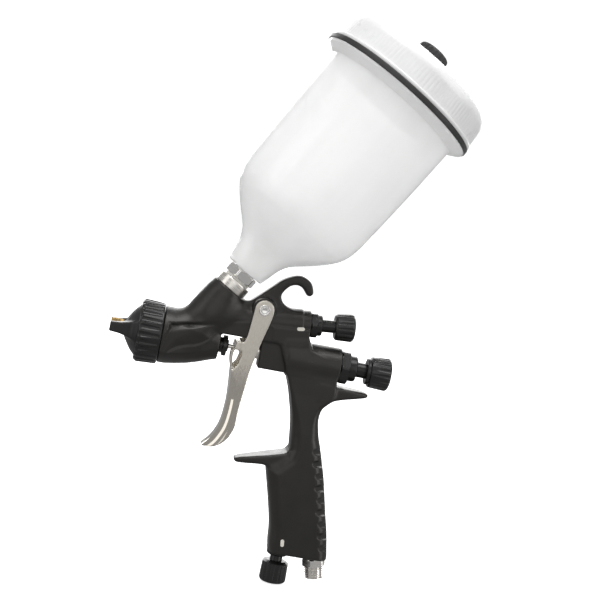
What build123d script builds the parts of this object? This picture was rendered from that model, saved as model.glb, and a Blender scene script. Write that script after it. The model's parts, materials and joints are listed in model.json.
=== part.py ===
"""Gravity-feed HVLP spray gun: cast body, air cap head, trigger, valves and a tilted plastic cup.

Frame: X runs along the spray axis with the nozzle towards -X, +Z is up and Y = 0 is the plane of
symmetry. The origin is the centre of the air inlet's open end. Lengths are in millimetres.
"""
from build123d import *
from math import cos, radians, sin
import os

# Axes of the gun, all in the plane Y = 0
SPRAY_Z = 141.5          # height of the spray axis above the air inlet
FAN_TILT = 5.5           # the pattern valve rises towards the rear
FAN_FACE = (-35.7, 164.8)  # where the pattern valve's axis leaves the body
CUP_LEAN = 30.0          # the cup leans back from the vertical
CUP_FOOT = (-84.2, 191.3)  # centre of the cup's flat bottom
INLET_LEAN = 12.8        # the handle and its air inlet lean back
AIR_VALVE_X = -27.3      # vertical axis of the air control valve
PIVOT = (-67.7, 169.7)   # trigger pivot

# Body casting
COLLAR_R = 18.4          # round collar behind the air cap ring
NOSE_R = 16.4            # threaded nose inside the ring
WEB_HALF = 9.6           # half-width between the trigger arms
MAIN_HALF = 11.4         # half-width behind the trigger arms
HANDLE_HALF = 12.4
HOOK_HALF = 4.5
HANDLE_TOP_Z = 113.2     # where the handle meets the body above it
BARREL_R = 9.8           # upper barrel, around the pattern valve
REAR_BARREL_R = 11.8     # lower barrel, around the needle spring
GROOVE_COUNT = 9         # finger grooves down the back of the handle
GROOVE_PITCH = 7.8
GROOVE_R = 3.6
SLOT_FRONT_X = -91.5     # trigger slot, from the head's rear face
SLOT_TOP_Z = 149.6
BLOCK_BOTTOM_Z = 131.6

# Running parts
NEEDLE_R = 1.45
STEM_R = 2.6             # hollow air valve stem around the needle
PIVOT_R = 2.5
RUNNING = 0.06           # radial running clearance
ARM_INNER = 10.2         # trigger arms, inner and outer faces
ARM_OUTER = 12.2

# Threads that show
CUP_THREAD_R = 7.9
INLET_THREAD_R = 6.58    # G1/4
CUP_RIM_S = 143.5        # where the cup's wall meets its brim


def axis_frame(foot, lean):
    """Frame whose x runs along an axis that leans back from +Z, and whose y is the radius."""
    along = (sin(radians(lean)), 0, cos(radians(lean)))
    return Plane(origin=(foot[0], 0, foot[1]), x_dir=along, z_dir=(0, -1, 0))


SPRAY = axis_frame((0, SPRAY_Z), 90)
FAN = axis_frame(FAN_FACE, 90 - FAN_TILT)
CUP = axis_frame(CUP_FOOT, CUP_LEAN)
INLET = axis_frame((0, 0), -INLET_LEAN)
AIR_CONTROL = axis_frame((AIR_VALVE_X, 0), 0)
SIDE = Plane(origin=(0, 0, 0), x_dir=(1, 0, 0), z_dir=(0, -1, 0))
TRIGGER_PIVOT = Plane(origin=(PIVOT[0], 0, PIVOT[1]), x_dir=(1, 0, 0), z_dir=(0, -1, 0))


def axis_of(frame):
    return Axis(frame.origin, frame.x_dir)


def across(frame, station):
    """Plane square to an axis, at a station along it."""
    point = frame.from_local_coords(Vector(station, 0, 0))
    return Plane(origin=point, x_dir=(0, 1, 0), z_dir=frame.x_dir)


def outline(frame, points):
    """Closed face through straight lines, in the frame's own coordinates."""
    with BuildSketch(frame) as face:
        with BuildLine():
            Polyline(*points, close=True)
        make_face()
    return face.sketch


def turned(frame, points):
    """Solid of revolution about the frame's x axis, from (station, radius) points."""
    return revolve(outline(frame, points), axis=axis_of(frame), mode=Mode.PRIVATE)


def rod(frame, start, end, radius, bore=0.0):
    return turned(frame, [(start, bore), (end, bore), (end, radius), (start, radius)])


def hexagon(frame, start, end, flats, turn=0.0, bore=0.0):
    """Chamfered hexagon along an axis, with an optional bore."""
    with BuildPart() as body:
        with BuildSketch(across(frame, start)):
            RegularPolygon(radius=flats / 2, side_count=6, major_radius=False, rotation=turn)
            if bore:
                Circle(bore, mode=Mode.SUBTRACT)
        extrude(amount=end - start)
        corner = flats / 2 / cos(radians(30))
        rim = 0.6
        cone = [(start, bore), (end, bore), (end, corner - rim), (end - rim, corner + 0.4),
                (start + rim, corner + 0.4), (start, corner - rim)]
        add(turned(frame, cone), mode=Mode.INTERSECT)
    return body.part


def flutes(frame, start, end, radius, count, groove, phase=0.0):
    """Straight round grooves on a circle, to be cut from a knob."""
    with BuildPart() as tool:
        with BuildSketch(across(frame, start)):
            with PolarLocations(radius, count, start_angle=phase):
                Circle(groove)
        extrude(amount=end - start)
    return tool.part


def coil(frame, start, end, radius, wire, turns):
    """Open helical spring along an axis."""
    length = end - start - 2 * wire
    with BuildPart() as spring:
        with BuildLine():
            path = Helix(pitch=length / turns, height=length, radius=radius,
                         center=across(frame, start + wire).origin, direction=frame.x_dir)
        with BuildSketch(Plane(origin=path @ 0, z_dir=path % 0)):
            Circle(wire)
        sweep(is_frenet=True)
    return spring.part


NODES = []


def save(builder, name):
    builder.part.label = name
    export_step(builder.part, f"parts/{name}.step")
    NODES.append(name)


os.makedirs("parts", exist_ok=True)

# ---------------------------------------------------------------- gun body
# height, front x and rear x of the handle, below and above the finger rest
LOWER_HANDLE = [(18.8, -35.0, 4.1), (31, -36.2, 1.9), (46, -40.0, -1.7), (60, -44.0, -5.5),
                (70, -47.2, -8.4)]
UPPER_HANDLE = [(66, -33.8, -7.3), (80, -33.5, -11.0), (93, -34.2, -14.6), (104, -36.3, -18.3),
                (114, -39.0, -17.0)]

with BuildPart() as grip:
    for stations in (LOWER_HANDLE, UPPER_HANDLE):
        sections = []
        for height, front, rear in stations:
            with BuildSketch(Plane.XY.offset(height)) as section:
                with Locations(((front + rear) / 2, 0)):
                    RectangleRounded(rear - front, 2 * HANDLE_HALF, 7.6)
            sections.append(section.sketch)
        loft(sections)

with BuildPart() as casting:
    # head: round collar, tapering barrel and rear face
    with BuildSketch(SPRAY):
        with BuildLine():
            Polyline((SLOT_FRONT_X, 0), (-138.6, 0), (-138.6, NOSE_R - 0.8), (-137.8, NOSE_R),
                     (-129.2, NOSE_R), (-129.2, COLLAR_R), (-124.6, COLLAR_R))
            ThreePointArc((-124.6, COLLAR_R), (-109.9, 15.6), (-96.2, 10.8))
            Polyline((-96.2, 10.8), (-96.2, 9.4), (SLOT_FRONT_X, 8.2), (SLOT_FRONT_X, 0))
        make_face()
    revolve(axis=axis_of(SPRAY))
    # cup boss, flaring into the head
    with BuildSketch(CUP):
        with BuildLine():
            Polyline((-15, 0), (-15, 10.0), (-15.6, 10.6), (-24, 11.4))
            ThreePointArc((-24, 11.4), (-33.5, 13.0), (-43.0, 18.2))
            Polyline((-43.0, 18.2), (-52, 16.0), (-52, 0), (-15, 0))
        make_face()
    revolve(axis=axis_of(CUP))
    # clear the boss flare from the trigger slot
    with Locations((-78.5, 0, 128.0)):
        Box(26.0, 60, 2 * (SLOT_TOP_Z - 128.0), mode=Mode.SUBTRACT)
    # upper barrel and the web below it
    add(turned(FAN, [(-84, 0), (-5.4, 0), (-5.4, BARREL_R), (-84, BARREL_R)]))
    add(turned(FAN, [(-5.6, 0), (0, 0), (0, 8.6), (-0.5, 9.1), (-5.6, 9.1)]))
    with BuildSketch(SIDE):
        with BuildLine():
            Polyline((-100, SLOT_TOP_Z), (-66, SLOT_TOP_Z), (-66, 150.4), (-64.8, BLOCK_BOTTOM_Z),
                     (-43, BLOCK_BOTTOM_Z), (-36, 150), (-36.0, 164), (-60, 166), (-100, 162),
                     close=True)
        make_face()
    extrude(amount=WEB_HALF, both=True)
    # lower barrel
    add(turned(SPRAY, [(-46, 0), (-11.6, 0), (-11.6, 11.2), (-12.2, REAR_BARREL_R),
                       (-46, REAR_BARREL_R)]))
    # wide middle of the body, behind the arms' sweep
    with BuildSketch(SIDE):
        with BuildLine():
            Polyline((-44.8, 131.6), (-47.2, 141), (-50.2, 149.4), (-54, 152.2), (-60, 152.6),
                     (-60, 160), (-35.6, 162.4), (-35.0, 157), (-33.2, 153.0), (-30, 131.6),
                     close=True)
        make_face()
    extrude(amount=WEB_HALF + 0.5, both=True)
    with BuildSketch(SIDE):
        with BuildLine():
            Polyline((-44.8, 131.6), (-48.0, 144), (-46, 154), (-35.0, 156.0), (-33.2, 150),
                     (-12, 141.5), (-12, 118.4), (-16.6, 113.6), (-39.0, 113.0), close=True)
        make_face()
    extrude(amount=MAIN_HALF, both=True)
    # pivot boss
    with BuildSketch(TRIGGER_PIVOT):
        Circle(7.4)
    extrude(amount=WEB_HALF + 0.3, both=True)
    add(grip.part)
    # finger rest below the trigger
    with BuildSketch(SIDE):
        with BuildLine():
            Polyline((-34, 80.2), (-50, 75.8), (-60, 73.2), (-66.1, 71.2))
            ThreePointArc((-66.1, 71.2), (-68.1, 68.9), (-66.1, 67.2))
            Polyline((-66.1, 67.2), (-55, 68.8), (-48, 69.8), (-34, 66), (-34, 80.2))
        make_face()
    extrude(amount=8.6, both=True)
    # rear prong that rests on the hand
    with BuildSketch(SIDE):
        with BuildLine():
            Polyline((-16, 132), (-11.9, 128.4), (3.3, 128.0), (9.0, 127.6))
            ThreePointArc((9.0, 127.6), (10.9, 126.2), (9.6, 124.4))
            Polyline((9.6, 124.4), (3.3, 122.9), (-6.2, 120.7), (-12.5, 117.7), (-20, 112),
                     (-16, 132))
        make_face()
    extrude(amount=9.6, both=True)
    # air inlet boss
    add(turned(INLET, [(14, 0), (30, 0), (30, 8.6), (14.8, 8.6), (14, 7.8)]))

    # flats on the sides of the head
    for side in (-1, 1):
        with Locations((-105, side * 25.4, SPRAY_Z - 1.5)):
            Box(39.2, 20, 44, mode=Mode.SUBTRACT)
    # finger grooves round the rear corners of the handle
    for step in range(GROOVE_COUNT):
        groove_z = 86.0 - GROOVE_PITCH * step
        groove_x = -12.7 + (86.0 - groove_z) * 0.243
        for side in (-1, 1):
            corner = (groove_x - 0.3, side * (HANDLE_HALF - 0.3), groove_z)
            with Locations(Location(corner, (0, 0, -side * 45))):
                Cylinder(GROOVE_R, 14, rotation=(0, 90, 0), mode=Mode.SUBTRACT)

    # air chamber and nozzle thread in the head
    add(rod(SPRAY, -139, -124, 13.5), mode=Mode.SUBTRACT)
    add(rod(SPRAY, -125, -116.5, 5.95), mode=Mode.SUBTRACT)
    add(rod(SPRAY, -117, -104.5, 3.2), mode=Mode.SUBTRACT)
    add(rod(SPRAY, -104.6, -91, 4.15), mode=Mode.SUBTRACT)
    # paint passage from the cup
    add(rod(CUP, -57, -14, 3.2), mode=Mode.SUBTRACT)
    add(rod(CUP, -22, -14, 8.0), mode=Mode.SUBTRACT)
    # air valve: guide bore, outlet chamber, seat bore and supply chamber
    add(rod(SPRAY, -67, -59, 5.0), mode=Mode.SUBTRACT)
    add(rod(SPRAY, -60, -40, 6.5), mode=Mode.SUBTRACT)
    add(rod(SPRAY, -46.0, -11, 8.1), mode=Mode.SUBTRACT)
    # air ways: handle, inlet, outlet to the pattern valve and two to the head
    add(rod(AIR_CONTROL, 18, 41, 6.0), mode=Mode.SUBTRACT)
    add(rod(AIR_CONTROL, 40, 141, 4.0), mode=Mode.SUBTRACT)
    add(rod(INLET, 13, 42, 4.4), mode=Mode.SUBTRACT)
    add(rod(INLET, 13, 24.5, 5.5), mode=Mode.SUBTRACT)
    add(rod(axis_frame((-27.3, 37.0), 90), 0, 19.5, 3.6), mode=Mode.SUBTRACT)
    add(rod(axis_frame((-54.0, 141.5), 0), 0, 20, 3.0), mode=Mode.SUBTRACT)
    add(rod(FAN, -27, 1, 4.6), mode=Mode.SUBTRACT)
    add(rod(FAN, -12, 1, 6.5), mode=Mode.SUBTRACT)
    for side in (-1, 1):
        start = Vector(-58.5, 0, 162.6)
        end = Vector(-126, side * 10.6, 151.0)
        way = Plane(origin=start, z_dir=end - start)
        with BuildSketch(way):
            Circle(2.2)
        extrude(amount=(end - start).length, mode=Mode.SUBTRACT)
    # trigger pivot
    with BuildSketch(TRIGGER_PIVOT):
        Circle(PIVOT_R)
    extrude(amount=30, both=True, mode=Mode.SUBTRACT)

# the casting is kept as three pieces that meet face to face
with BuildPart() as gun_body:
    add(casting.part)
    split(bisect_by=Plane.XY.offset(HANDLE_TOP_Z), keep=Keep.TOP)
save(gun_body, "gun_body")

with BuildPart() as handle:
    add(casting.part)
    split(bisect_by=Plane.XY.offset(HANDLE_TOP_Z), keep=Keep.BOTTOM)
save(handle, "handle")

with BuildPart() as hanging_hook:
    with BuildSketch(SIDE):
        with BuildLine():
            rise = Line((-79.6, 168.0), (-79.6, 172.4))
            back = Spline((-79.6, 172.4), (-74.5, 175.6), (-65, 184.8), (-58, 191.2),
                          (-48.6, 195.1), (-41, 192.4), (-38.0, 186.4))
            tip = ThreePointArc((-38.0, 186.4), (-40.2, 183.1), (-42.6, 184.6))
            throat = Spline((-42.6, 184.6), (-45.4, 187.5), (-49.4, 188.7), (-54.0, 186.8),
                            (-57.9, 181.0), (-56.2, 176.2), (-52.4, 173.0))
            Polyline((-52.4, 173.0), (-52.4, 164), (-79.6, 168.0))
        make_face()
    extrude(amount=HOOK_HALF, both=True)
    add(casting.part, mode=Mode.SUBTRACT)
    # the upper barrel's passages and the pivot hole stay open
    add(rod(FAN, -60, 1, 9.0), mode=Mode.SUBTRACT)
    with BuildSketch(TRIGGER_PIVOT):
        Circle(PIVOT_R)
    extrude(amount=30, both=True, mode=Mode.SUBTRACT)
save(hanging_hook, "hanging_hook")

# ---------------------------------------------------------------- paint way
with BuildPart() as fluid_inlet_collar:
    add(turned(CUP, [(-21.5, 4.6), (-21.5, 8.0), (-15, 8.0), (-15, 10.7), (-8.6, 10.7),
                     (-8.0, 10.1), (-8.0, CUP_THREAD_R + RUNNING), (-14.6, CUP_THREAD_R + RUNNING),
                     (-14.6, 4.6)]))
save(fluid_inlet_collar, "fluid_inlet_collar")

with BuildPart() as cup_fitting:
    add(hexagon(CUP, -6.5, -0.5, 19.0, turn=12, bore=4.5))
    add(turned(CUP, [(-14.0, 4.5), (-14.0, CUP_THREAD_R - 0.6), (-13.4, CUP_THREAD_R),
                     (-8.6, CUP_THREAD_R), (-8.4, 6.6), (-6.4, 6.6), (-6.4, 4.5)]))
    add(rod(CUP, -0.6, 10.0, 7.5, bore=4.5))
save(cup_fitting, "cup_fitting")

with BuildPart() as cup_seal:
    add(rod(CUP, -7.9, -6.55, 8.6, bore=6.7))
save(cup_seal, "cup_seal")

with BuildPart() as cup_nut:
    add(hexagon(CUP, 3.1, 7.5, 19.0, bore=7.5))
save(cup_nut, "cup_nut")

with BuildPart() as cup_funnel:
    with BuildSketch(CUP):
        with BuildLine():
            Polyline((0, 7.6), (0, 12.6), (0.6, 13.2))
            Spline((0.6, 13.2), (14, 16.6), (23, 22.3), (36, 35.8), (46, 43.4), (60, 46.8))
            Polyline((60, 46.8), (60, 44.2))
            Spline((60, 44.2), (47, 41.0), (37, 33.2), (24.6, 20.2), (15, 14.0), (3, 12.2))
            Polyline((3, 12.2), (3, 7.6), (0, 7.6))
        make_face()
    revolve(axis=axis_of(CUP))
save(cup_funnel, "cup_funnel")

with BuildPart() as cup_wall:
    add(turned(CUP, [(60, 44.2), (60, 46.8), (100, 48.3), (CUP_RIM_S, 49.2), (CUP_RIM_S, 50.0),
                     (147, 56.6), (148, 57.0), (150, 57.0), (150, 46.8), (100, 45.7)]))
save(cup_wall, "cup_wall")

with BuildPart() as paint_strainer:
    add(turned(CUP, [(10.1, 3.4), (10.1, 8.6), (11.4, 8.6), (11.4, 6.0), (30, 5.0), (32, 4.0),
                     (32, 0), (31, 0), (31, 3.4), (29.4, 4.2), (11.2, 5.2), (11.2, 3.4)]))
    for level in range(5):
        with BuildSketch(across(CUP, 14.0 + 3.2 * level)) as ring:
            for turn in range(4):
                with Locations(Location((0, 0), 45.0 * turn + 22.5 * (level % 2))):
                    Rectangle(20, 1.5)
        extrude(ring.sketch, amount=1.5, mode=Mode.SUBTRACT)
save(paint_strainer, "paint_strainer")

# ---------------------------------------------------------------- lid
with BuildPart() as lid_gasket:
    add(turned(CUP, [(150.1, 47.4), (152.0, 47.4), (152.0, 57.7), (148.2, 57.7), (148.2, 57.15),
                     (150.1, 57.15)]))
save(lid_gasket, "lid_gasket")

with BuildPart() as cup_lid:
    with BuildSketch(CUP):
        with BuildLine():
            Polyline((152.1, 46.1), (152.1, 57.2), (154.0, 57.2), (154.4, 56.6), (165.5, 55.9))
            ThreePointArc((165.5, 55.9), (171.8, 54.0), (175.4, 49.4))
            Polyline((175.4, 49.4), (176.0, 46.0), (176.0, 6.2), (173.2, 6.2), (173.2, 45.6),
                     (170.6, 48.6), (157.0, 48.6), (157.0, 44.4), (141.0, 44.4),
                     (141.0, 46.1), (152.1, 46.1))
        make_face()
    revolve(axis=axis_of(CUP))
save(cup_lid, "cup_lid")

with BuildPart() as lid_vent_seal:
    add(rod(CUP, 171.6, 173.1, 7.4, bore=6.2))
save(lid_vent_seal, "lid_vent_seal")

with BuildPart() as lid_vent_knob:
    add(turned(CUP, [(170.8, 2.0), (170.8, 6.1), (176.3, 6.1), (176.3, 10.2), (177.2, 11.1),
                     (186.6, 11.0), (188.2, 9.2), (188.2, 0), (186.0, 0), (186.0, 2.0)]))
    add(flutes(CUP, 178.0, 189.0, 11.7, 16, 1.5), mode=Mode.SUBTRACT)
save(lid_vent_knob, "lid_vent_knob")

# ---------------------------------------------------------------- head
with BuildPart() as fluid_nozzle:
    add(turned(SPRAY, [(-152.5, 0.7), (-152.5, 1.2), (-151.0, 1.35), (-148, 2.6), (-141.5, 6.4),
                       (-134.5, 7.2), (-134.5, 8.4), (-129.0, 8.4), (-129.0, 7.0), (-124.1, 7.0),
                       (-124.1, 5.9), (-116.6, 5.9), (-116.6, 2.6), (-146, 2.6), (-151.5, 0.7)]))
    with BuildSketch(across(SPRAY, -134.6)):
        Circle(12)
        RegularPolygon(radius=7.0, side_count=6, major_radius=False, mode=Mode.SUBTRACT)
    extrude(amount=5.7, mode=Mode.SUBTRACT)
save(fluid_nozzle, "fluid_nozzle")

with BuildPart() as air_distributor:
    add(turned(SPRAY, [(-128.6, 7.3), (-128.6, 13.3), (-124.1, 13.3), (-124.1, 7.3)]))
    with BuildSketch(across(SPRAY, -129)):
        with PolarLocations(10.3, 12):
            Circle(1.5)
    extrude(amount=6, mode=Mode.SUBTRACT)
save(air_distributor, "air_distributor")

with BuildPart() as air_cap:
    with BuildSketch(SPRAY):
        with BuildLine():
            Polyline((-138.9, 15.8), (-138.9, 18.2), (-141.5, 18.2), (-141.5, 16.4), (-144.9, 16.4))
            Spline((-144.9, 16.4), (-147.9, 13.0), (-150.2, 9.4), (-151.8, 6.4), (-152.9, 5.2))
            Polyline((-152.9, 5.2), (-152.9, 1.9), (-150.9, 1.9), (-150.9, 4.4), (-148.6, 8.2),
                     (-146.2, 11.6), (-143.6, 14.4), (-138.9, 15.8))
        make_face()
    revolve(axis=axis_of(SPRAY))
    for side in (-1, 1):
        with BuildSketch(Plane.XY.offset(SPRAY_Z)):
            with BuildLine():
                Polyline((-146.2, side * 12.6), (-145.2, side * 16.0), (-155.0, side * 14.4),
                         (-162.0, side * 13.4), (-162.6, side * 12.6), (-162.6, side * 9.6),
                         (-152.6, side * 5.4), (-151.4, side * 7.0), close=True)
            make_face()
        extrude(amount=2.7, both=True)
    for side in (-1, 1):
        for reach in (-159.6, -156.6):
            mouth = Vector(reach, side * 9.0, SPRAY_Z)
            with BuildSketch(Plane(origin=mouth, z_dir=(-0.35, -side, 0))):
                Circle(0.8)
            extrude(amount=6, both=True, dir=(-0.35, -side, 0), mode=Mode.SUBTRACT)
save(air_cap, "air_cap")

with BuildPart() as air_cap_ring:
    add(turned(SPRAY, [(-129.4, NOSE_R + RUNNING), (-129.4, 19.0), (-130.1, 19.9), (-142.8, 20.6),
                       (-144.6, 18.8), (-144.6, 16.6), (-141.7, 16.6), (-141.7, 18.4),
                       (-136.8, 18.4), (-136.8, NOSE_R + RUNNING)]))
    add(flutes(SPRAY, -143.6, -131.4, 21.9, 26, 2.0), mode=Mode.SUBTRACT)
save(air_cap_ring, "air_cap_ring")

with BuildPart() as air_cap_clip:
    add(rod(SPRAY, -138.6, -137.2, 18.3, bore=17.0))
    with Locations((-138, 0, SPRAY_Z - 18)):
        Box(4, 3, 6, mode=Mode.SUBTRACT)
save(air_cap_clip, "air_cap_clip")

# ---------------------------------------------------------------- needle and its packing
with BuildPart() as needle_packing:
    add(rod(SPRAY, -104.3, -98.2, 4.1, bore=NEEDLE_R + RUNNING))
save(needle_packing, "needle_packing")

with BuildPart() as packing_nut:
    add(rod(SPRAY, -98.0, -91.4, 4.1, bore=NEEDLE_R + 0.1))
    add(rod(SPRAY, -91.4, -89.2, 5.0, bore=NEEDLE_R + 0.1))
    add(hexagon(SPRAY, -89.3, -86.4, 13.0, turn=0, bore=NEEDLE_R + 0.1))
    add(rod(SPRAY, -86.5, -85.5, 3.8, bore=NEEDLE_R + 0.1))
save(packing_nut, "packing_nut")

with BuildPart() as fluid_needle:
    add(turned(SPRAY, [(-152.3, 0), (-152.3, 0.3), (-151.5, 0.6), (-149.1, NEEDLE_R),
                       (-25.0, NEEDLE_R), (-25.0, 0)]))
save(fluid_needle, "fluid_needle")

with BuildPart() as needle_collar:
    add(rod(SPRAY, -41.2, -36.2, 3.0, bore=NEEDLE_R))
save(needle_collar, "needle_collar")

with BuildPart() as needle_spring:
    add(coil(SPRAY, -36.0, -16.2, 2.4, 0.4, 9))
save(needle_spring, "needle_spring")

# ---------------------------------------------------------------- air valve
with BuildPart() as air_valve_guide:
    add(rod(SPRAY, -66.6, -60.2, 5.0, bore=STEM_R + RUNNING))
save(air_valve_guide, "air_valve_guide")

with BuildPart() as air_valve_seat:
    add(rod(SPRAY, -52.4, -49.2, 6.5, bore=4.0))
save(air_valve_seat, "air_valve_seat")

with BuildPart() as air_valve_stem:
    add(turned(SPRAY, [(-78.5, NEEDLE_R + 0.1), (-78.5, STEM_R - 0.8), (-77.7, STEM_R),
                       (-48.9, STEM_R), (-48.9, 5.4), (-46.9, 5.4), (-46.9, STEM_R),
                       (-43.0, STEM_R), (-43.0, NEEDLE_R + 0.1)]))
save(air_valve_stem, "air_valve_stem")

with BuildPart() as air_valve_spring:
    add(coil(SPRAY, -46.7, -22.4, 5.6, 0.5, 8))
save(air_valve_spring, "air_valve_spring")

# ---------------------------------------------------------------- fluid control at the rear
with BuildPart() as fluid_control_bush:
    add(rod(SPRAY, -22.0, -11.4, 8.1, bore=5.1))
    add(hexagon(SPRAY, -11.4, -5.4, 20.6, turn=0, bore=5.1))
    add(turned(SPRAY, [(-5.6, 3.1), (-5.6, 8.45), (-1.0, 8.45), (-0.3, 7.8), (-0.3, 5.0),
                       (12.0, 5.0), (12.0, 3.1)]))
save(fluid_control_bush, "fluid_control_bush")

with BuildPart() as fluid_spring_seat:
    add(turned(SPRAY, [(-16.0, 0), (-16.0, 4.4), (-8.0, 4.4), (-8.0, 2.6), (-6.9, 2.6),
                       (-6.9, 0)]))
save(fluid_spring_seat, "fluid_spring_seat")

with BuildPart() as fluid_knob:
    with BuildSketch(SPRAY):
        with BuildLine():
            Polyline((-6.8, 0), (-6.8, 3.0), (16.5, 3.0), (16.5, 5.3), (6.5, 5.3), (6.5, 8.3),
                     (6.9, 8.7), (8.5, 8.7), (9.0, 10.0), (9.6, 10.2), (20.2, 10.9))
            ThreePointArc((20.2, 10.9), (22.0, 9.6), (22.6, 7.4))
            Polyline((22.6, 7.4), (22.6, 0), (-6.8, 0))
        make_face()
    revolve(axis=axis_of(SPRAY))
    add(flutes(SPRAY, 9.4, 24.0, 11.6, 18, 1.5), mode=Mode.SUBTRACT)
save(fluid_knob, "fluid_knob")

# ---------------------------------------------------------------- pattern valve
with BuildPart() as fan_valve_bush:
    add(rod(FAN, -11.8, 0.3, 6.5, bore=4.2))
    add(hexagon(FAN, 0.2, 4.7, 15.4, turn=0, bore=4.2))
    add(turned(FAN, [(4.6, 4.2), (4.6, 6.8), (7.2, 6.8), (7.8, 6.2), (7.8, 4.2)]))
save(fan_valve_bush, "fan_valve_bush")

with BuildPart() as fan_valve_cone:
    add(turned(FAN, [(-21.0, 0), (-21.0, 1.6), (-14.0, 4.2), (-12.4, 4.2), (-12.4, 0)]))
save(fan_valve_cone, "fan_valve_cone")

with BuildPart() as fan_valve_oring:
    with Locations(Location(across(FAN, -4.0))):
        Torus(3.52, 0.6)
save(fan_valve_oring, "fan_valve_oring")

with BuildPart() as fan_knob:
    with BuildSketch(FAN):
        with BuildLine():
            Polyline((-12.2, 0), (-12.2, 4.1), (-4.8, 4.1), (-4.8, 2.9), (-3.2, 2.9), (-3.2, 4.1),
                     (16.2, 4.1), (16.2, 7.6), (17.4, 8.7), (27.0, 9.1))
            ThreePointArc((27.0, 9.1), (28.8, 8.0), (29.6, 5.8))
            Polyline((29.6, 5.8), (29.6, 0), (-12.2, 0))
        make_face()
    revolve(axis=axis_of(FAN))
    add(flutes(FAN, 17.6, 31.0, 9.8, 16, 1.4), mode=Mode.SUBTRACT)
save(fan_knob, "fan_knob")

# ---------------------------------------------------------------- air control valve
with BuildPart() as air_control_bush:
    add(rod(AIR_CONTROL, 18.6, 32.0, 6.0, bore=4.2))
    add(hexagon(AIR_CONTROL, 14.6, 18.7, 14.6, turn=0, bore=4.2))
    add(turned(AIR_CONTROL, [(11.2, 4.2), (11.2, 6.2), (12.2, 7.1), (14.7, 7.1), (14.7, 4.2)]))
save(air_control_bush, "air_control_bush")

with BuildPart() as air_control_cone:
    add(turned(AIR_CONTROL, [(33.0, 0), (33.0, 4.2), (34.6, 4.2), (39.4, 1.8), (39.4, 0)]))
save(air_control_cone, "air_control_cone")

with BuildPart() as air_control_oring:
    with Locations(Location(across(AIR_CONTROL, 25.0))):
        Torus(3.52, 0.6)
save(air_control_oring, "air_control_oring")

with BuildPart() as air_control_knob:
    with BuildSketch(AIR_CONTROL):
        with BuildLine():
            Polyline((32.8, 0), (32.8, 4.1), (25.8, 4.1), (25.8, 2.9), (24.2, 2.9), (24.2, 4.1),
                     (7.4, 4.1), (7.4, 6.4), (6.2, 8.6), (-5.2, 8.9))
            ThreePointArc((-5.2, 8.9), (-6.7, 7.8), (-7.3, 5.8))
            Polyline((-7.3, 5.8), (-7.3, 0), (32.8, 0))
        make_face()
    revolve(axis=axis_of(AIR_CONTROL))
    add(flutes(AIR_CONTROL, -9.0, 5.4, 9.6, 16, 1.4), mode=Mode.SUBTRACT)
save(air_control_knob, "air_control_knob")

# ---------------------------------------------------------------- air inlet
with BuildPart() as air_inlet_fitting:
    add(turned(INLET, [(0, 4.0), (0, INLET_THREAD_R - 0.5), (0.5, INLET_THREAD_R),
                       (7.2, INLET_THREAD_R), (7.2, 5.8), (8.1, 5.8), (8.1, 4.0)]))
    add(hexagon(INLET, 8.0, 13.4, 14.0, turn=14, bore=4.0))
    add(rod(INLET, 13.3, 24.0, 5.4, bore=4.0))
save(air_inlet_fitting, "air_inlet_fitting")

with BuildPart() as inlet_seal:
    add(rod(INLET, 13.4, 13.95, 7.4, bore=5.5))
save(inlet_seal, "inlet_seal")

# ---------------------------------------------------------------- trigger
with BuildPart() as trigger:
    with BuildSketch(SIDE) as cheeks:
        with BuildLine():
            ThreePointArc((-73.9, 168.6), (-67.7, 176.0), (-61.4, 168.6))
            Spline((-61.4, 168.6), (-62.5, 162.0), (-65.6, 149.0), (-69.2, 131.0), (-70.6, 117.0),
                   (-71.9, 103.0), (-72.2, 92.0), (-74.4, 82.8))
            Spline((-74.4, 82.8), (-77.8, 78.4), (-83.0, 75.2), (-90.0, 74.6))
            Line((-90.0, 74.6), (-91.2, 75.6))
            Spline((-91.2, 75.6), (-86.0, 81.6), (-81.9, 91.0), (-80.5, 103.0), (-80.6, 114.0),
                   (-81.4, 127.6))
            Polyline((-81.4, 127.6), (-80.0, 129.4), (-77.6, 132.4), (-76.8, 137.0),
                     (-77.2, 141.0), (-81.9, 141.6), (-81.2, 146.6), (-76.6, 147.2),
                     (-75.2, 152.0), (-73.9, 168.6))
        make_face()
    extrude(amount=ARM_OUTER, both=True)
    with BuildSketch(SIDE) as inside:
        with BuildLine():
            Polyline((-79.2, 130.2), (-79.2, 148.4), (-84, 148.4), (-84, 180), (-55, 180),
                     (-55, 80), (-72.0, 81.8))
            Spline((-72.0, 81.8), (-76.4, 80.0), (-80.4, 78.0), (-85.2, 77.6), (-88.4, 77.0))
            Spline((-88.4, 77.0), (-84.2, 82.6), (-80.1, 91.6), (-78.7, 103.0), (-78.8, 114.0),
                   (-79.2, 130.2))
        make_face()
    extrude(amount=ARM_INNER, both=True, mode=Mode.SUBTRACT)
    # narrow strap that carries the needle slot
    with BuildSketch(SIDE):
        with BuildLine():
            ThreePointArc((-81.6, 141.7), (-83.3, 136.6), (-81.4, 127.7))
            Line((-81.4, 127.7), (-79.4, 129.0))
            ThreePointArc((-79.4, 129.0), (-81.6, 136.4), (-79.4, 141.7))
            Line((-79.4, 141.7), (-81.6, 141.7))
        make_face()
    extrude(amount=6.0, both=True)
    with Locations((-81, 0, 142.6)):
        Box(8, 3.7, 7.2, mode=Mode.SUBTRACT)
    with BuildSketch(TRIGGER_PIVOT):
        Circle(PIVOT_R + RUNNING)
    extrude(amount=30, both=True, mode=Mode.SUBTRACT)
save(trigger, "trigger")

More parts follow.
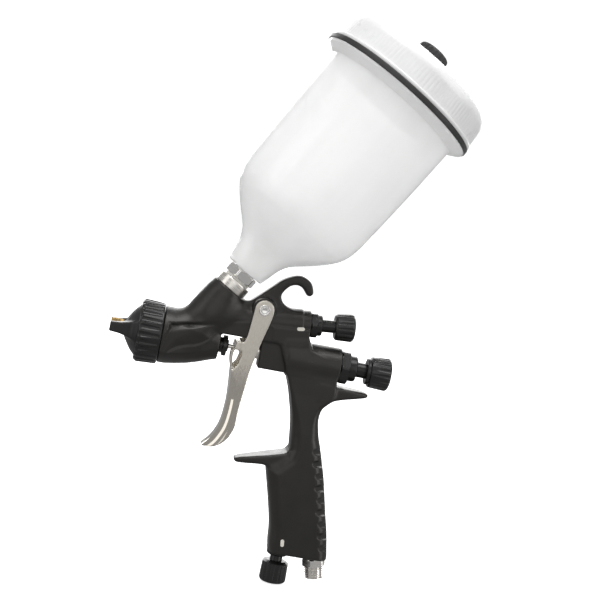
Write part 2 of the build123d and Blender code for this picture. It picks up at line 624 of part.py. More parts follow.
with BuildPart() as trigger_pivot_pin:
    with BuildSketch(TRIGGER_PIVOT):
        Circle(PIVOT_R)
    extrude(amount=13.6, both=True)
    with BuildSketch(TRIGGER_PIVOT.offset(12.4)):
        Circle(3.4)
    extrude(amount=1.2)
save(trigger_pivot_pin, "trigger_pivot_pin")

with BuildPart() as pivot_clip:
    with BuildSketch(TRIGGER_PIVOT.offset(-13.2)):
        Circle(4.0)
        Circle(PIVOT_R, mode=Mode.SUBTRACT)
    extrude(amount=0.7)
    with Locations((PIVOT[0] - 4, 12.9, PIVOT[1])):
        Box(6, 4, 2.6, mode=Mode.SUBTRACT)
save(pivot_clip, "pivot_clip")

# ---------------------------------------------------------------- index marks
with BuildPart() as index_marks:
    with BuildSketch(Plane.XZ.offset(WEB_HALF + 0.5)):
        with Locations(Location((-42.2, 161.9), 8)):
            SlotOverall(5.0, 2.3)
    extrude(amount=0.35)
    with BuildSketch(Plane.XZ.offset(HANDLE_HALF)):
        with Locations(Location((-27.0, 22.2), 98)):
            SlotOverall(4.8, 2.3)
    extrude(amount=0.35)
save(index_marks, "index_marks")

print(len(NODES), "nodes")
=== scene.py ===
"""Gravity-feed HVLP spray gun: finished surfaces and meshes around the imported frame.

Lengths in profiles are in millimetres, as (station along an axis, radius), and are turned into
metres when a mesh is made. The spray axis runs along X with the nozzle towards -X.
"""

import json
from math import atan2, cos, pi, radians, sin, sqrt

import bmesh
import bpy
import numpy as np
from mathutils import Matrix, Vector

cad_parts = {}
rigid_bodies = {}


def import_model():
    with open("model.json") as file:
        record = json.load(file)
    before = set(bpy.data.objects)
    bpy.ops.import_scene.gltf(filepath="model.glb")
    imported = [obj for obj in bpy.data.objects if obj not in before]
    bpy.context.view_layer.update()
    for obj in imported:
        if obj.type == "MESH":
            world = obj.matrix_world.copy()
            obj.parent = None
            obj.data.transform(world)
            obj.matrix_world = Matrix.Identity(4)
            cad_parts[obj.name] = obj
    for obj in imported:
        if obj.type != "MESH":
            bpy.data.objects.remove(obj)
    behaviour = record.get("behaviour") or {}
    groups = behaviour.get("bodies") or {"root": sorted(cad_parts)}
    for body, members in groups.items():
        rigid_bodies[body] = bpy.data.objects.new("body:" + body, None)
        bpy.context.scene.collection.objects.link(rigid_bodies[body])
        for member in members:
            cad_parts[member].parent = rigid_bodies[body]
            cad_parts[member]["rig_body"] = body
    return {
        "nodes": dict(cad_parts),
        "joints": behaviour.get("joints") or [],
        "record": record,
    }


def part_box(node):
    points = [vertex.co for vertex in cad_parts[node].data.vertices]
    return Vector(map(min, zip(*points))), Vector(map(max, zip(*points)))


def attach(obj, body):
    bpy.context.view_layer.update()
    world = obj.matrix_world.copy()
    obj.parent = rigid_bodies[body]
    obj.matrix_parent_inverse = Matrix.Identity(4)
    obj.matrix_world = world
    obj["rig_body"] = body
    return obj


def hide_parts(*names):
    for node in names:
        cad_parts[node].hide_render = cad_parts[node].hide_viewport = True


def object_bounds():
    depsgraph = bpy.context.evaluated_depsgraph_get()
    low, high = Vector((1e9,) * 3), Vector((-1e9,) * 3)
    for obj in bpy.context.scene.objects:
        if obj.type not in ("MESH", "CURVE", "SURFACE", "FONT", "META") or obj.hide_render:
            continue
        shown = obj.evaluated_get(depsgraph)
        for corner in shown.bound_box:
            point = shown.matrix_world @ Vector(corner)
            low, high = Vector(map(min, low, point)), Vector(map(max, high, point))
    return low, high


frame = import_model()
CAD_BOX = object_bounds()
MM = 0.001
JOINTS = {joint["name"]: joint for joint in frame["joints"]}
MOUNTS = {mount["name"]: mount for mount in frame["record"]["mounts"]}


# ------------------------------------------------------------------ axes of the gun
class Line:
    """An axis in the plane Y = 0: stations run along it in millimetres from its foot."""

    def __init__(self, foot, along):
        self.foot = Vector(foot)
        self.along = Vector(along).normalized()
        self.side = Vector((0, 1, 0))
        self.up = self.along.cross(self.side)

    def point(self, station, radius=0.0, angle=0.0):
        across = self.side * cos(angle) + self.up * sin(angle)
        return self.foot + (self.along * station + across * radius) * MM


def flipped(line):
    return Line(line.foot, -line.along)


def joint_line(name, flip=1):
    joint = JOINTS[name]
    return Line(joint["pos_m"], [flip * value for value in joint["axis"]])


SPRAY = joint_line("cap_ring_turn", flip=-1)
SPRAY.foot.x = 0.0
CUP = joint_line("cup_turn")
FAN = joint_line("fan_knob_turn")
AIR_CONTROL = joint_line("air_knob_turn", flip=-1)
INLET = Line((0, 0, 0), [-value for value in MOUNTS["air_inlet"]["axis"]])


# ------------------------------------------------------------------ meshes
def rounded(points, radius):
    """Profile with each corner turned into a small arc."""
    steps = 3
    result = [points[0]]
    for before, corner, after in zip(points, points[1:], points[2:]):
        corner_v = Vector(corner)
        back = Vector(before) - corner_v
        ahead = Vector(after) - corner_v
        turn = back.angle(ahead, 0)
        if turn > radians(165) or min(back.length, ahead.length) < 0.05:
            result.append(corner)
            continue
        reach = min(radius, 0.4 * back.length, 0.4 * ahead.length)
        start = corner_v + back.normalized() * reach
        end = corner_v + ahead.normalized() * reach
        for step in range(steps + 1):
            t = step / steps
            curve = start * (1 - t) ** 2 + corner_v * 2 * t * (1 - t) + end * t ** 2
            result.append((curve.x, curve.y))
    result.append(points[-1])
    return result


def spline(points, steps=6):
    """Smooth curve through points, as more profile points."""
    padded = [points[0]] + list(points) + [points[-1]]
    result = []
    for a, b, c, d in zip(padded, padded[1:], padded[2:], padded[3:]):
        a, b, c, d = (Vector(p) for p in (a, b, c, d))
        for step in range(steps):
            t = step / steps
            p = 0.5 * (2 * b + (c - a) * t + (2 * a - 5 * b + 4 * c - d) * t ** 2
                       + (3 * b - a - 3 * c + d) * t ** 3)
            result.append((p.x, p.y))
    result.append(tuple(points[-1]))
    return result


def finish_mesh(obj, body, material, sharp):
    """Smooth shading, a material and a body to ride on."""
    for polygon in obj.data.polygons:
        polygon.use_smooth = True
    obj.data.set_sharp_from_angle(angle=radians(sharp))
    obj.data.materials.clear()
    obj.data.materials.append(material)
    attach(obj, body)
    return obj


def new_object(name, mesh):
    obj = bpy.data.objects.new(name, mesh)
    bpy.context.scene.collection.objects.link(obj)
    return obj


def lathe(name, line, profile, columns, shape=None):
    """Closed ring of a profile about an axis. shape(station, radius, angle) may change a radius."""
    mesh = bpy.data.meshes.new(name)
    rows = []
    verts = []
    for station, radius in profile:
        if radius < 1e-4:
            rows.append([len(verts)] * columns)
            verts.append(line.point(station))
            continue
        row = []
        for column in range(columns):
            angle = 2 * pi * column / columns
            reach = shape(station, radius, angle) if shape else radius
            row.append(len(verts))
            verts.append(line.point(station, reach, angle))
        rows.append(row)
    faces = []
    closed = profile[0] == profile[-1]
    if closed:
        verts = verts[:-columns]
        rows[-1] = rows[0]
    for near, far in zip(rows, rows[1:]):
        for column in range(columns):
            following = (column + 1) % columns
            face = [near[column], near[following], far[following], far[column]]
            face = list(dict.fromkeys(face))
            if len(face) > 2:
                faces.append(face)
    mesh.from_pydata([tuple(v) for v in verts], [], faces)
    mesh.validate()
    obj = new_object(name, mesh)
    tidy_normals(obj)
    return obj


def tidy_normals(obj):
    """Merges the points on an axis and turns every face outward."""
    work = bmesh.new()
    work.from_mesh(obj.data)
    bmesh.ops.remove_doubles(work, verts=work.verts, dist=1e-7)
    bmesh.ops.recalc_face_normals(work, faces=work.faces)
    work.to_mesh(obj.data)
    work.free()


def apply_modifiers(obj):
    """Turns an object's modifiers into mesh."""
    graph = bpy.context.evaluated_depsgraph_get()
    mesh = bpy.data.meshes.new_from_object(obj.evaluated_get(graph), depsgraph=graph)
    obj.modifiers.clear()
    obj.data = mesh


def fluted(count, centre, groove, start, end, blend=0.35):
    """Shape with straight round grooves between two stations.

    Each groove is a round bar of radius groove whose centre is centre away from the axis. The
    groove's edge is softened, and its end runs out over blend.
    """
    pitch = 2 * pi / count
    soft = 0.12

    def shape(station, radius, angle):
        off = (angle + pitch / 2) % pitch - pitch / 2
        inside = groove ** 2 - (centre * sin(off)) ** 2
        if inside <= 0:
            return radius
        floor = centre * cos(off) - sqrt(inside)
        run = min(station - start, end - station)
        depth = max(0.0, radius - floor) * min(1.0, max(0.0, run / blend + 1))
        return radius - max(0.0, sqrt(depth ** 2 + soft ** 2) - soft)

    return shape


def hexagonal(flats, phase):
    """Shape that cuts a round profile back to a hexagon."""
    def shape(station, radius, angle):
        off = (angle - phase + pi / 6) % (pi / 3) - pi / 6
        return min(radius, flats / 2 / cos(off))

    return shape


def rows_between(start, end, radius, step):
    """Evenly spaced profile points along a cylinder."""
    count = max(2, round(abs(end - start) / step))
    return [(start + (end - start) * i / count, radius) for i in range(count + 1)]


# ------------------------------------------------------------------ solids as distance fields
class Field:
    """Distances in millimetres to a solid that is the same on both sides of Y = 0."""

    def __init__(self, low, high, half, step):
        self.low = low
        self.step = step
        self.x = np.arange(low[0], high[0], step)[:, None, None]
        self.y = np.arange(0, half, step)[None, :, None]
        self.z = np.arange(low[1], high[1], step)[None, None, :]

    def outline(self, points):
        """Distance in the side view to a closed outline, negative inside."""
        x, z = self.x, self.z
        nearest = np.full((x.size, 1, z.size), 1e9)
        inside = np.zeros(nearest.shape, bool)
        for (ax, az), (bx, bz) in zip(points, points[1:] + points[:1]):
            ex, ez = bx - ax, bz - az
            length = max(ex * ex + ez * ez, 1e-12)
            t = np.clip(((x - ax) * ex + (z - az) * ez) / length, 0, 1)
            nearest = np.minimum(nearest, (x - ax - t * ex) ** 2 + (z - az - t * ez) ** 2)
            if az != bz:
                crosses = (z < az) != (z < bz)
                inside ^= crosses & (x < ax + (z - az) / (bz - az) * ex)
        return np.where(inside, -1, 1) * np.sqrt(nearest)

    def along(self, line):
        """Station along an axis, and the distance from it in the side view."""
        dx = self.x - line.foot.x / MM
        dz = self.z - line.foot.z / MM
        return dx * line.along.x + dz * line.along.z, dx * line.along.z - dz * line.along.x

    def plate(self, points, half, edge):
        """Outline with thickness, its edges rounded. half may vary over the side view."""
        return rounded_meet(self.outline(points), abs(self.y) - half, edge)

    def round(self, line, points, edge):
        """Solid of revolution from (station, radius) points, its ends rounded."""
        station, off = self.along(line)
        stations, radii = zip(*points)
        side = np.sqrt(off ** 2 + self.y ** 2) - np.interp(station, stations, radii)
        middle, reach = (stations[0] + stations[-1]) / 2, (stations[-1] - stations[0]) / 2
        return rounded_meet(side, abs(station - middle) - reach, edge)

    def bore(self, line, start, end, radius):
        return self.round(line, [(start, radius), (end, radius)], 0.05)


def rounded_meet(a, b, edge):
    """Where both fields are inside, with the outer edge between them rounded."""
    p, q = a + edge, b + edge
    outside = np.sqrt(np.maximum(p, 0) ** 2 + np.maximum(q, 0) ** 2)
    return outside + np.minimum(np.maximum(p, q), 0) - edge


def join(a, b, blend):
    """Union with a fillet."""
    near = np.maximum(blend - abs(a - b), 0)
    return np.minimum(a, b) - near ** 2 / (4 * blend)


def cut(a, b, blend):
    """a without b, with a small round on the edge."""
    return -join(-a, b, blend)


def meet(a, b, blend):
    """Where both fields are inside, with a small round between them."""
    return -join(-a, -b, blend)


CORNERS = [np.array(corner) for corner in np.ndindex(2, 2, 2)]
EDGES = [(a, b) for a in CORNERS for b in CORNERS if (b - a).min() >= 0 and (b - a).sum() == 1]


def skin(name, field, distance):
    """Mesh on a field's zero surface, one vertex in each cell that the surface crosses."""
    distance = np.concatenate([distance[:, :0:-1], distance], axis=1)
    inside = distance < 0
    shape = [size - 1 for size in inside.shape]
    count = np.zeros(shape, np.int8)
    for i, j, k in CORNERS:
        count += inside[i:shape[0] + i, j:shape[1] + j, k:shape[2] + k]
    cells = np.argwhere((count > 0) & (count < 8))
    number = np.full(shape, -1, np.int32)
    number[tuple(cells.T)] = np.arange(len(cells))
    total = np.zeros((len(cells), 3))
    hits = np.zeros((len(cells), 1))
    for a, b in EDGES:
        at_a, at_b = distance[tuple((cells + a).T)], distance[tuple((cells + b).T)]
        crossed = (at_a < 0) != (at_b < 0)
        t = np.where(crossed, at_a / np.where(crossed, at_a - at_b, 1), 0)
        total += crossed[:, None] * (a + t[:, None] * (b - a))
        hits += crossed[:, None]
    place = cells + total / hits
    origin = np.array([field.low[0], -field.y[0, -1, 0], field.low[1]])
    faces = []
    for axis in range(3):
        first, second = [other for other in range(3) if other != axis]
        step = np.eye(3, dtype=int)
        near = np.moveaxis(inside, axis, 0)
        flips = np.argwhere(np.moveaxis(near[:-1] != near[1:], 0, axis))
        flips = flips[(flips[:, first] > 0) & (flips[:, second] > 0)]
        ring = [flips - step[first] - step[second], flips - step[second], flips,
                flips - step[first]]
        quads = np.stack([number[tuple(cell.T)] for cell in ring], 1)
        outward = inside[tuple(flips.T)] ^ (axis == 1)
        quads[~outward] = quads[~outward][:, ::-1]
        faces.append(quads)
    faces = np.concatenate(faces)
    mesh = bpy.data.meshes.new(name)
    mesh.from_pydata(((origin + place * field.step) * MM).tolist(), [], faces.tolist())
    mesh.validate()
    return new_object(name, mesh)


def thinned(obj, faces):
    """Evens out a skin's facets and brings its triangle count down."""
    relax = obj.modifiers.new("relax", "SMOOTH")
    relax.factor = 0.5
    relax.iterations = 2
    apply_modifiers(obj)
    count = 2 * len(obj.data.polygons)
    if count > faces:
        thin = obj.modifiers.new("thin", "DECIMATE")
        thin.ratio = faces / count
        apply_modifiers(obj)
    return obj


# ------------------------------------------------------------------ materials
class Nodes:
    """A short way to write a material's node tree."""

    def __init__(self, name):
        self.material = bpy.data.materials.new(name)
        self.material.use_nodes = True
        self.tree = self.material.node_tree
        self.shader = self.tree.nodes["Principled BSDF"]
        self.place = self.tree.nodes.new("ShaderNodeTexCoord").outputs["Object"]

    def add(self, kind, links, **values):
        """New node: links go to its sockets, as a source or a constant, and values are settings."""
        node = self.tree.nodes.new(kind)
        for key, value in values.items():
            setattr(node, key, value)
        for socket, source in links.items():
            if hasattr(source, "is_linked"):
                self.tree.links.new(source, node.inputs[socket])
            else:
                node.inputs[socket].default_value = source
        return node

    def noise(self, scale, detail, roughness=0.5, stretch=None, turn=None):
        """Noise over the object, stretched along an axis where stretch is given."""
        place = self.place
        if stretch:
            mapping = {"Vector": self.place, "Scale": [1 / value for value in stretch]}
            if turn:
                mapping["Rotation"] = turn
            place = self.add("ShaderNodeMapping", mapping, vector_type="TEXTURE").outputs["Vector"]
        return self.add("ShaderNodeTexNoise", {"Vector": place, "Scale": scale, "Detail": detail,
                                               "Roughness": roughness}).outputs["Fac"]

    def ramp(self, source, low, high, start=0.3, end=0.7):
        """Source from start to end mapped onto low to high."""
        node = self.add("ShaderNodeMapRange", {"Value": source, "From Min": start, "From Max": end,
                                               "To Min": low, "To Max": high})
        return node.outputs["Result"]

    def mix(self, factor, first, second):
        node = self.tree.nodes.new("ShaderNodeMix")
        node.data_type = "RGBA"
        for socket, source in ((node.inputs[0], factor), (node.inputs[6], first),
                               (node.inputs[7], second)):
            if hasattr(source, "is_linked"):
                self.tree.links.new(source, socket)
            else:
                socket.default_value = source
        return node.outputs[2]

    def bump(self, height, strength, distance):
        links = {"Height": height, "Strength": strength, "Distance": distance}
        return self.add("ShaderNodeBump", links).outputs["Normal"]

    def set(self, **values):
        """Sockets of the main shader, with an underscore for each space in a socket's name."""
        for key, value in values.items():
            socket = self.shader.inputs[key.replace("_", " ")]
            if hasattr(value, "is_linked"):
                self.tree.links.new(value, socket)
            else:
                socket.default_value = value


def grey(value, warm=0.0):
    """Neutral colour, or a slightly warm one."""
    return (value * (1 + warm), value, value * (1 - warm), 1.0)


def cast_black():
    """Bead-blasted, anodised forging: warm black with a fine grain."""
    n = Nodes("cast_black")
    cloud = n.noise(45, 4)
    grain = n.noise(2600, 2)
    n.set(Base_Color=n.mix(n.ramp(cloud, 0, 1), grey(0.007, 0.06), grey(0.012, 0.07)),
          Roughness=n.ramp(n.noise(160, 5), 0.34, 0.42), Specular_IOR_Level=0.55,
          Specular_Tint=(1.0, 0.975, 0.94, 1.0),
          Normal=n.bump(grain, 0.20, 0.00006))
    return n.material


def machined_black(name="machined_black", low=0.25, high=0.33):
    """Turned and anodised black aluminium, semi-gloss."""
    n = Nodes(name)
    grain = n.noise(1500, 3)
    n.set(Base_Color=n.mix(n.ramp(n.noise(70, 3), 0, 1), grey(0.006, 0.03), grey(0.011, 0.04)),
          Roughness=n.ramp(n.noise(240, 4), low, high), Specular_IOR_Level=0.5,
          Normal=n.bump(grain, 0.05, 0.00003))
    return n.material


def turned_metal(name, light, dark, rough, line):
    """Metal with fine lathe lines square to an axis."""
    n = Nodes(name)
    along, across = 900.0, 14
    lean = atan2(line.along.z, line.along.x)
    lines = n.noise(1.0, 4, 0.6, stretch=(along, across, across),
                    turn=(0, -lean, 0))
    n.set(Base_Color=n.mix(n.ramp(lines, 0, 1), dark, light), Metallic=1.0,
          Roughness=n.ramp(lines, rough - 0.06, rough + 0.08),
          Normal=n.bump(lines, 0.2, 0.00004))
    return n.material


def trigger_steel():
    """Stainless stamping: satin arms that run down into a polished finger channel."""
    n = Nodes("trigger_steel")
    grain = n.noise(1.0, 3, 0.6, stretch=(2600, 2600, 500))
    height = n.add("ShaderNodeSeparateXYZ", {"Vector": n.place}).outputs["Z"]
    satin = n.ramp(height, 0.0, 1.0, 0.114, 0.138)
    rough = n.add("ShaderNodeMath", {0: satin, 1: n.ramp(grain, 0.24, 0.34)}, operation="MULTIPLY")
    rough = n.add("ShaderNodeMath", {0: rough.outputs[0], 1: 0.07}, operation="ADD")
    n.set(Base_Color=n.mix(n.ramp(grain, 0, 1), (0.64, 0.60, 0.53, 1), (0.75, 0.71, 0.64, 1)),
          Metallic=1.0, Roughness=rough.outputs[0], Normal=n.bump(grain, 0.06, 0.00003))
    return n.material


def polished(name, light, dark, rough):
    """Polished metal with faint handling marks."""
    n = Nodes(name)
    smear = n.noise(60, 5, 0.6)
    n.set(Base_Color=n.mix(n.ramp(smear, 0, 1), dark, light), Metallic=1.0,
          Roughness=n.ramp(n.noise(350, 4), rough, rough + 0.09),
          Normal=n.bump(n.noise(700, 2), 0.08, 0.00005))
    return n.material


def rubber_black():
    n = Nodes("rubber_black")
    n.set(Base_Color=n.mix(n.ramp(n.noise(120, 4), 0, 1), grey(0.020), grey(0.034)),
          Roughness=n.ramp(n.noise(400, 3), 0.42, 0.56), Normal=n.bump(n.noise(1800, 2), 0.2, 0.00005))
    return n.material


def cup_nylon():
    """Milky translucent nylon: light passes through and the moulding's faint waves show. A faint white
    emission is a painted glow that brightens the cup as if lit from behind.
    """
    n = Nodes("cup_nylon")
    waves = n.noise(1.0, 3, stretch=(60, 60, 9), turn=(0, radians(30), 0))
    n.set(Base_Color=n.mix(n.ramp(waves, 0, 1), grey(0.90), grey(0.95)),
          Roughness=n.ramp(n.noise(40, 3), 0.10, 0.17), Transmission_Weight=0.40, IOR=1.4,
          # painted glow: a white emission that lights the cup up as if light shone through it from
          # behind
          Emission_Color=grey(1.0), Emission_Strength=0.09,
          Subsurface_Weight=0.6, Subsurface_Radius=(0.02, 0.02, 0.02), Subsurface_Scale=0.3,
          Normal=n.bump(waves, 0.10, 0.0006))
    return n.material


def lid_nylon():
    """Denser white nylon with a fine moulded texture, and a faint white emission that is a painted glow
    to brighten it.
    """
    n = Nodes("lid_nylon")
    n.set(Base_Color=n.mix(n.ramp(n.noise(60, 4), 0, 1), grey(0.78), grey(0.84)),
          Roughness=n.ramp(n.noise(150, 3), 0.26, 0.38), Subsurface_Weight=0.5,
          # painted glow: a white emission that brightens the lid, standing in for light falling on it
          Emission_Color=grey(1.0), Emission_Strength=0.07,
          Subsurface_Radius=(0.01, 0.01, 0.01), Subsurface_Scale=0.3,
          Normal=n.bump(n.noise(500, 3), 0.08, 0.00008))
    return n.material


def pale_plastic(name, colour):
    n = Nodes(name)
    n.set(Base_Color=n.mix(n.ramp(n.noise(200, 4), 0, 1), tuple(0.9 * c for c in colour) + (1,),
                           tuple(colour) + (1,)),
          Roughness=n.ramp(n.noise(300, 3), 0.4, 0.55), Normal=n.bump(n.noise(900, 2), 0.1, 0.00005))
    return n.material


STEEL_LIGHT, STEEL_DARK = (0.94, 0.91, 0.86, 1), (0.80, 0.77, 0.72, 1)
BLACK_CAST = cast_black()
BLACK_TURNED = machined_black()
BLACK_CAP = machined_black("cap_black", 0.34, 0.44)
COLLAR_STEEL = turned_metal("collar_steel", STEEL_LIGHT, STEEL_DARK, 0.30, CUP)
SPRAY_STEEL = turned_metal("spray_steel", STEEL_LIGHT, STEEL_DARK, 0.22, SPRAY)
INLET_NICKEL = turned_metal("inlet_nickel", (0.94, 0.91, 0.88, 1), (0.76, 0.74, 0.71, 1),
                            0.20, INLET)
POLISHED_STEEL = polished("polished_steel", (0.92, 0.91, 0.89, 1), (0.80, 0.79, 0.77, 1), 0.08)
TRIGGER_STEEL = trigger_steel()
BRASS = turned_metal("turned_brass", (0.78, 0.56, 0.26, 1), (0.60, 0.40, 0.16, 1), 0.24, SPRAY)
SPRING_STEEL = polished("spring_steel", (0.55, 0.55, 0.54, 1), (0.4, 0.4, 0.4, 1), 0.2)
RUBBER = rubber_black()
CUP_NYLON = cup_nylon()
LID_NYLON = lid_nylon()
SEAL_WHITE = pale_plastic("seal_white", (0.85, 0.84, 0.80))
INDEX_WHITE = pale_plastic("index_paint", (0.83, 0.80, 0.72))

CARRIED_OVER = {
    "air_distributor": BRASS, "air_cap_clip": SPRING_STEEL, "needle_packing": SEAL_WHITE,
    "needle_collar": BRASS, "needle_spring": SPRING_STEEL, "air_valve_guide": SPRAY_STEEL,
    "air_valve_seat": SEAL_WHITE, "air_valve_spring": SPRING_STEEL, "fluid_spring_seat": BRASS,
    "fan_valve_cone": BRASS, "fan_valve_oring": RUBBER, "air_control_cone": BRASS,
    "air_control_oring": RUBBER, "inlet_seal": RUBBER, "cup_nut": POLISHED_STEEL,
    "paint_strainer": SEAL_WHITE, "lid_vent_seal": RUBBER, "pivot_clip": SPRING_STEEL,
    "index_marks": INDEX_WHITE, "cup_seal": SEAL_WHITE, "fluid_nozzle": SPRAY_STEEL,
    "fluid_needle": SPRAY_STEEL, "air_valve_stem": SPRAY_STEEL,
}


def dress_carried_over():
    """CAD pieces whose shape is final keep it and get their own finish."""
    for node, material in CARRIED_OVER.items():
        obj = frame["nodes"][node]
        obj.data.materials.clear()
        obj.data.materials.append(material)
        for polygon in obj.data.polygons:
            polygon.use_smooth = True
        obj.data.set_sharp_from_angle(angle=radians(35))


# ------------------------------------------------------------------ pieces
def replace(obj, nodes, material, sharp=35):
    """obj takes the place of one or more CAD nodes of a body."""
    nodes = nodes.split()
    body = frame["nodes"][nodes[0]]["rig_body"]
    finish_mesh(obj, body, material, sharp)
    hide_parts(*nodes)
    return obj


# ------------------------------------------------------------------ cast body
# HEAD and NECK are (station, radius) profiles; the other outlines are (x, z) in the side view.
HEAD = [(-129.2, 18.4), (-124.6, 18.4), (-118, 17.4), (-110, 15.8), (-103, 13.7), (-96.2, 11.2),
        (-91.5, 9.8)]
NECK = [(-58, 11.0), (-50, 12.6), (-43, 13.2), (-35, 13.3), (-27, 12.9), (-20, 12.4), (-15, 11.6)]
CREASE = [(-126.5, 148.8), (-125.2, 149.2), (-115.3, 151.2), (-103.9, 153.4), (-97.0, 155.0)]
SWOOSH = spline([(-127.5, 127.0), (-124.7, 131.4), (-121.1, 135.2), (-114.3, 138.5), (-106.0, 140.8),
                 (-99.5, 145.0), (-94.0, 150.5)])
GRIP_FRONT = spline([(-33.4, 8.0), (-33.8, 13.6), (-35.0, 18.8), (-36.4, 31), (-40.0, 46), (-43.6, 59),
                     (-46.4, 69.0)]) + [(-40, 73), (-34.5, 79)] + spline(
    [(-33.6, 84.1), (-34.4, 90.9), (-35.2, 97.6), (-36.4, 104.3), (-38.2, 111.2), (-40.6, 119.6),
     (-43.0, 126.0), (-45.4, 131.8), (-46.6, 135.0)])
GRIP_REAR = spline([(-12.0, 124.0), (-13.0, 119.0), (-15.6, 115.6), (-17.9, 112.6), (-18.8, 108.6),
                    (-18.6, 103.6), (-17.4, 98.3), (-15.9, 93.0), (-13.7, 87.0), (-10.4, 77.0),
                    (-6.9, 65.5), (-2.0, 46), (1.9, 31), (4.1, 18.8), (4.8, 13.6), (5.2, 8.0)])
HOOK = spline([(-79.6, 168.0), (-79.6, 171.4), (-74.5, 175.6), (-65, 184.8), (-58, 191.2),
               (-48.6, 195.1), (-41, 192.4), (-38.0, 186.4), (-38.6, 184.0), (-40.2, 183.1),
               (-41.8, 183.6), (-42.6, 184.6), (-45.4, 187.5), (-49.4, 188.7), (-54.0, 186.8),
               (-57.9, 181.0), (-56.2, 176.2), (-51.0, 172.6)]) + [(-51.0, 162), (-79.6, 162)]


def faded(x, start, end, fade_in, fade_out):
    """1 between two values of x, falling to 0 at both ends."""
    return np.clip((x - start) / fade_in, 0, 1) * np.clip((end - x) / fade_out, 0, 1)


def head_relief(x, z):
    """How far the head's side is cut back: a crease under the neck, then a scoop to the swoosh."""
    below = np.interp(x, *zip(*CREASE)) - z
    above = z - np.interp(x, *zip(*SWOOSH))
    crease_depth, scoop_depth = 2.1, 0.7
    deep = crease_depth * faded(x, -126.0, -94.0, 2.5, 20.0)
    shelf = np.interp(x, [-125, -112, -100], [4.0, 2.4, 1.2])
    crease = deep * np.where(below > 0, np.clip(1 - below / shelf, 0, 1),
                             np.clip(1 + below / 2.2, 0, 1))
    reach = np.interp(x, [-126, -118, -106, -94], [2.0, 7.0, 9.0, 5.0])
    deep = scoop_depth * faded(x, -126.5, -93.0, 5.0, 5.0)
    scoop = deep * np.where(above > 0, np.clip(1 - above / reach, 0, 1) ** 1.5,
                            np.clip(1 + above / 1.3, 0, 1))
    return np.maximum(crease, scoop)


def head_form(f):
    """Barrel behind the air cap, flowing up into the cup boss and back into the upper barrel."""
    x, y, z = f.x, f.y, f.z
    head = f.round(SPRAY, HEAD, 0.5)
    corner_z = 147.6
    facet = -123.6 - 0.6 * np.maximum(z - corner_z, 0) - 0.3 * np.maximum(corner_z - z, 0)
    width = np.interp(x, [-123, -112, -103, -95, -90], [15.2, 14.2, 12.6, 10.6, 9.9])
    width = width + 0.75 * np.maximum(facet - x, 0)
    flat_sided = meet(head, abs(y) - width, 0.25)
    barrel = f.round(FAN, [(-66, 9.6), (-40, 9.8), (-5.4, 9.8)], 0.4)
    flare = f.round(CUP, NECK, 0.6)
    form = join(join(barrel, flare, 9.0), flat_sided, 7.0)
    only_the_sides = np.clip((abs(y) - 4) / 4, 0, 1)
    return form + head_relief(x, z) * only_the_sides


def body_form(f):
    """Head with the trigger's slot, both barrels, the web between them, pivot boss and hook."""
    x, y, z = f.x, f.y, f.z
    form = head_form(f)
    slot = f.plate([(-91.5, 100), (-91.5, 149.6), (-64.9, 149.6), (-64.9, 100)], 40, 1.0)
    form = cut(form, slot, 0.5)
    bridge = f.plate([(-93, 149.6), (-65.6, 149.8), (-40, 150), (-36, 152), (-36, 162.4),
                      (-60, 161.0), (-76, 160.2), (-99, 155.4)], 10.0, 0.6)
    form = join(form, bridge, 0.8)
    web = f.plate([(-65.6, 154), (-64.8, 131.8), (-36, 131.8), (-34, 154)], 8.8, 0.8)
    form = join(form, web, 1.0)
    rear_barrel = f.round(SPRAY, [(-46, 11.8), (-11.6, 11.8)], 0.7)
    middle = spline([(-46.0, 131.6), (-47.6, 137.4), (-50.4, 143.7), (-52.3, 147.8), (-54.7, 150.2),
                     (-58.8, 150.9)])
    middle = f.plate(middle + [(-60, 160), (-36.2, 162.2), (-35.6, 157), (-33.2, 151), (-30, 131.6)],
                     10.1, 0.9)
    form = join(form, join(rear_barrel, middle, 2.0), 1.2)
    barrel_end = f.round(FAN, [(-5.9, 9.1), (0, 9.1)], 0.5)
    form = join(form, barrel_end, 0.3)
    pivot = Vector(JOINTS["trigger_pull"]["pos_m"]) / MM
    boss_radius, boss_half = 7.4, 9.9
    boss = rounded_meet(np.hypot(x - pivot.x, z - pivot.z) - boss_radius, abs(y) - boss_half, 0.3)
    form = join(form, boss, 0.6)
    hook_half, hook_edge = 4.5, 1.9
    return join(form, f.plate(HOOK, hook_half, hook_edge), 2.6)


